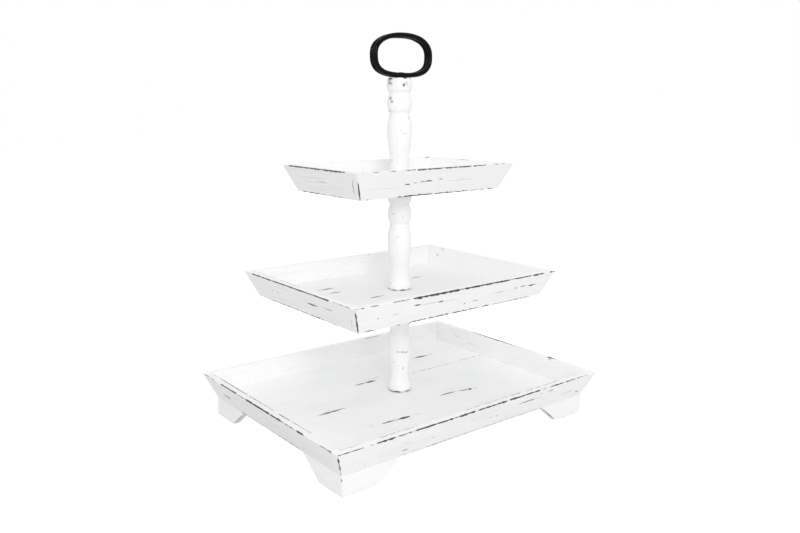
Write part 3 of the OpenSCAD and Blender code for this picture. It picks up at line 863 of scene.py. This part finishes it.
round_loop("handle_loop_front", "front", 0.0, 0.2, 1)
round_loop("handle_loop_back", "back", 0.6, -0.3, 2)
weld_bead()

# ---------------------------------------------------------------- hardware that keeps its CAD shape

zinc = bright_metal("zinc_plate", rgb(0.62, 0.63, 0.65), rgb(0.45, 0.46, 0.48), 0.34, (1, 1, 0.1))
brass = bright_metal("brass", rgb(0.78, 0.60, 0.26), rgb(0.60, 0.44, 0.18), 0.30, (1, 1, 0.2))
inserts = [f"insert_{post}_{end}" for post in ("lower", "middle", "upper") for end in ("bottom", "top")]
hardware = {node: zinc for node in ("base_washer", "base_screw", "rod_lower", "rod_upper", "handle_stud")}
hardware.update({node: brass for node in inserts})
for node, metal in hardware.items():
    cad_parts[node].data.materials.clear()
    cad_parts[node].data.materials.append(metal)

# ---------------------------------------------------------------- floor, light and camera

ground = bpy.data.meshes.new("studio_floor")
ground.from_pydata([(-6, -6, 0), (6, -6, 0), (6, 6, 0), (-6, 6, 0)], [], [(0, 1, 2, 3)])
floor = bpy.data.objects.new("studio_floor", ground)
bpy.context.scene.collection.objects.link(floor)
studio = Tree("studio_white")
studio.bsdf.inputs["Base Color"].default_value = rgb(0.57, 0.57, 0.57)
studio.bsdf.inputs["Roughness"].default_value = 0.9
glow = studio.nt.nodes.new("ShaderNodeEmission")
both = studio.nt.nodes.new("ShaderNodeAddShader")
straight = studio.nt.nodes.new("ShaderNodeLightPath").outputs["Is Camera Ray"]
studio.put(glow.inputs["Strength"], studio.ramp(straight, 0.0, 1.0, 0.19, 0.78, smooth=False))
studio.link(glow.outputs[0], both.inputs[0])
studio.link(studio.bsdf.outputs[0], both.inputs[1])
studio.link(both.outputs[0], studio.out.inputs["Surface"])
ground.materials.append(studio.mat)

world = bpy.data.worlds.new("studio")
world.use_nodes = True
sky = world.node_tree.nodes["Background"]
sky.inputs["Color"].default_value = rgb(1, 1, 1)
seen = world.node_tree.nodes.new("ShaderNodeLightPath").outputs["Is Camera Ray"]
level = world.node_tree.nodes.new("ShaderNodeMapRange")
level.inputs["To Min"].default_value = 0.87
level.inputs["To Max"].default_value = 1.0
world.node_tree.links.new(seen, level.inputs["Value"])
world.node_tree.links.new(level.outputs["Result"], sky.inputs["Strength"])
bpy.context.scene.world = world
bpy.context.scene.view_settings.view_transform = "Standard"


def soft_light(name, place, aim, size, power):
    data = bpy.data.lights.new(name, "AREA")
    data.shape = "RECTANGLE"
    data.size, data.size_y = size
    data.energy = power
    lamp = bpy.data.objects.new(name, data)
    bpy.context.scene.collection.objects.link(lamp)
    lamp.location = place
    away = np.array(place, float) - np.array(aim, float)
    across = math.hypot(away[0], away[1])
    lamp.rotation_euler = (math.atan2(across, away[2]), 0, math.atan2(away[0], -away[1]))


soft_light("key_softbox", (-0.95, -1.8, 1.1), (0, 0, 0.2), (0.9, 0.9), 15)
soft_light("top_softbox", (0.1, 0.2, 2.2), (0, 0, 0.2), (1.2, 1.2), 4)

lens = bpy.data.cameras.new("camera")
lens.sensor_width = 36.0
lens.lens = 35.69
lens.clip_end = 50
camera = bpy.data.objects.new("camera", lens)
bpy.context.scene.collection.objects.link(camera)
camera.location = (-0.6075, -0.7724, 0.4019)
camera.rotation_euler = (math.radians(90 - 11.81), 0, math.radians(-38.22))
bpy.context.scene.camera = camera
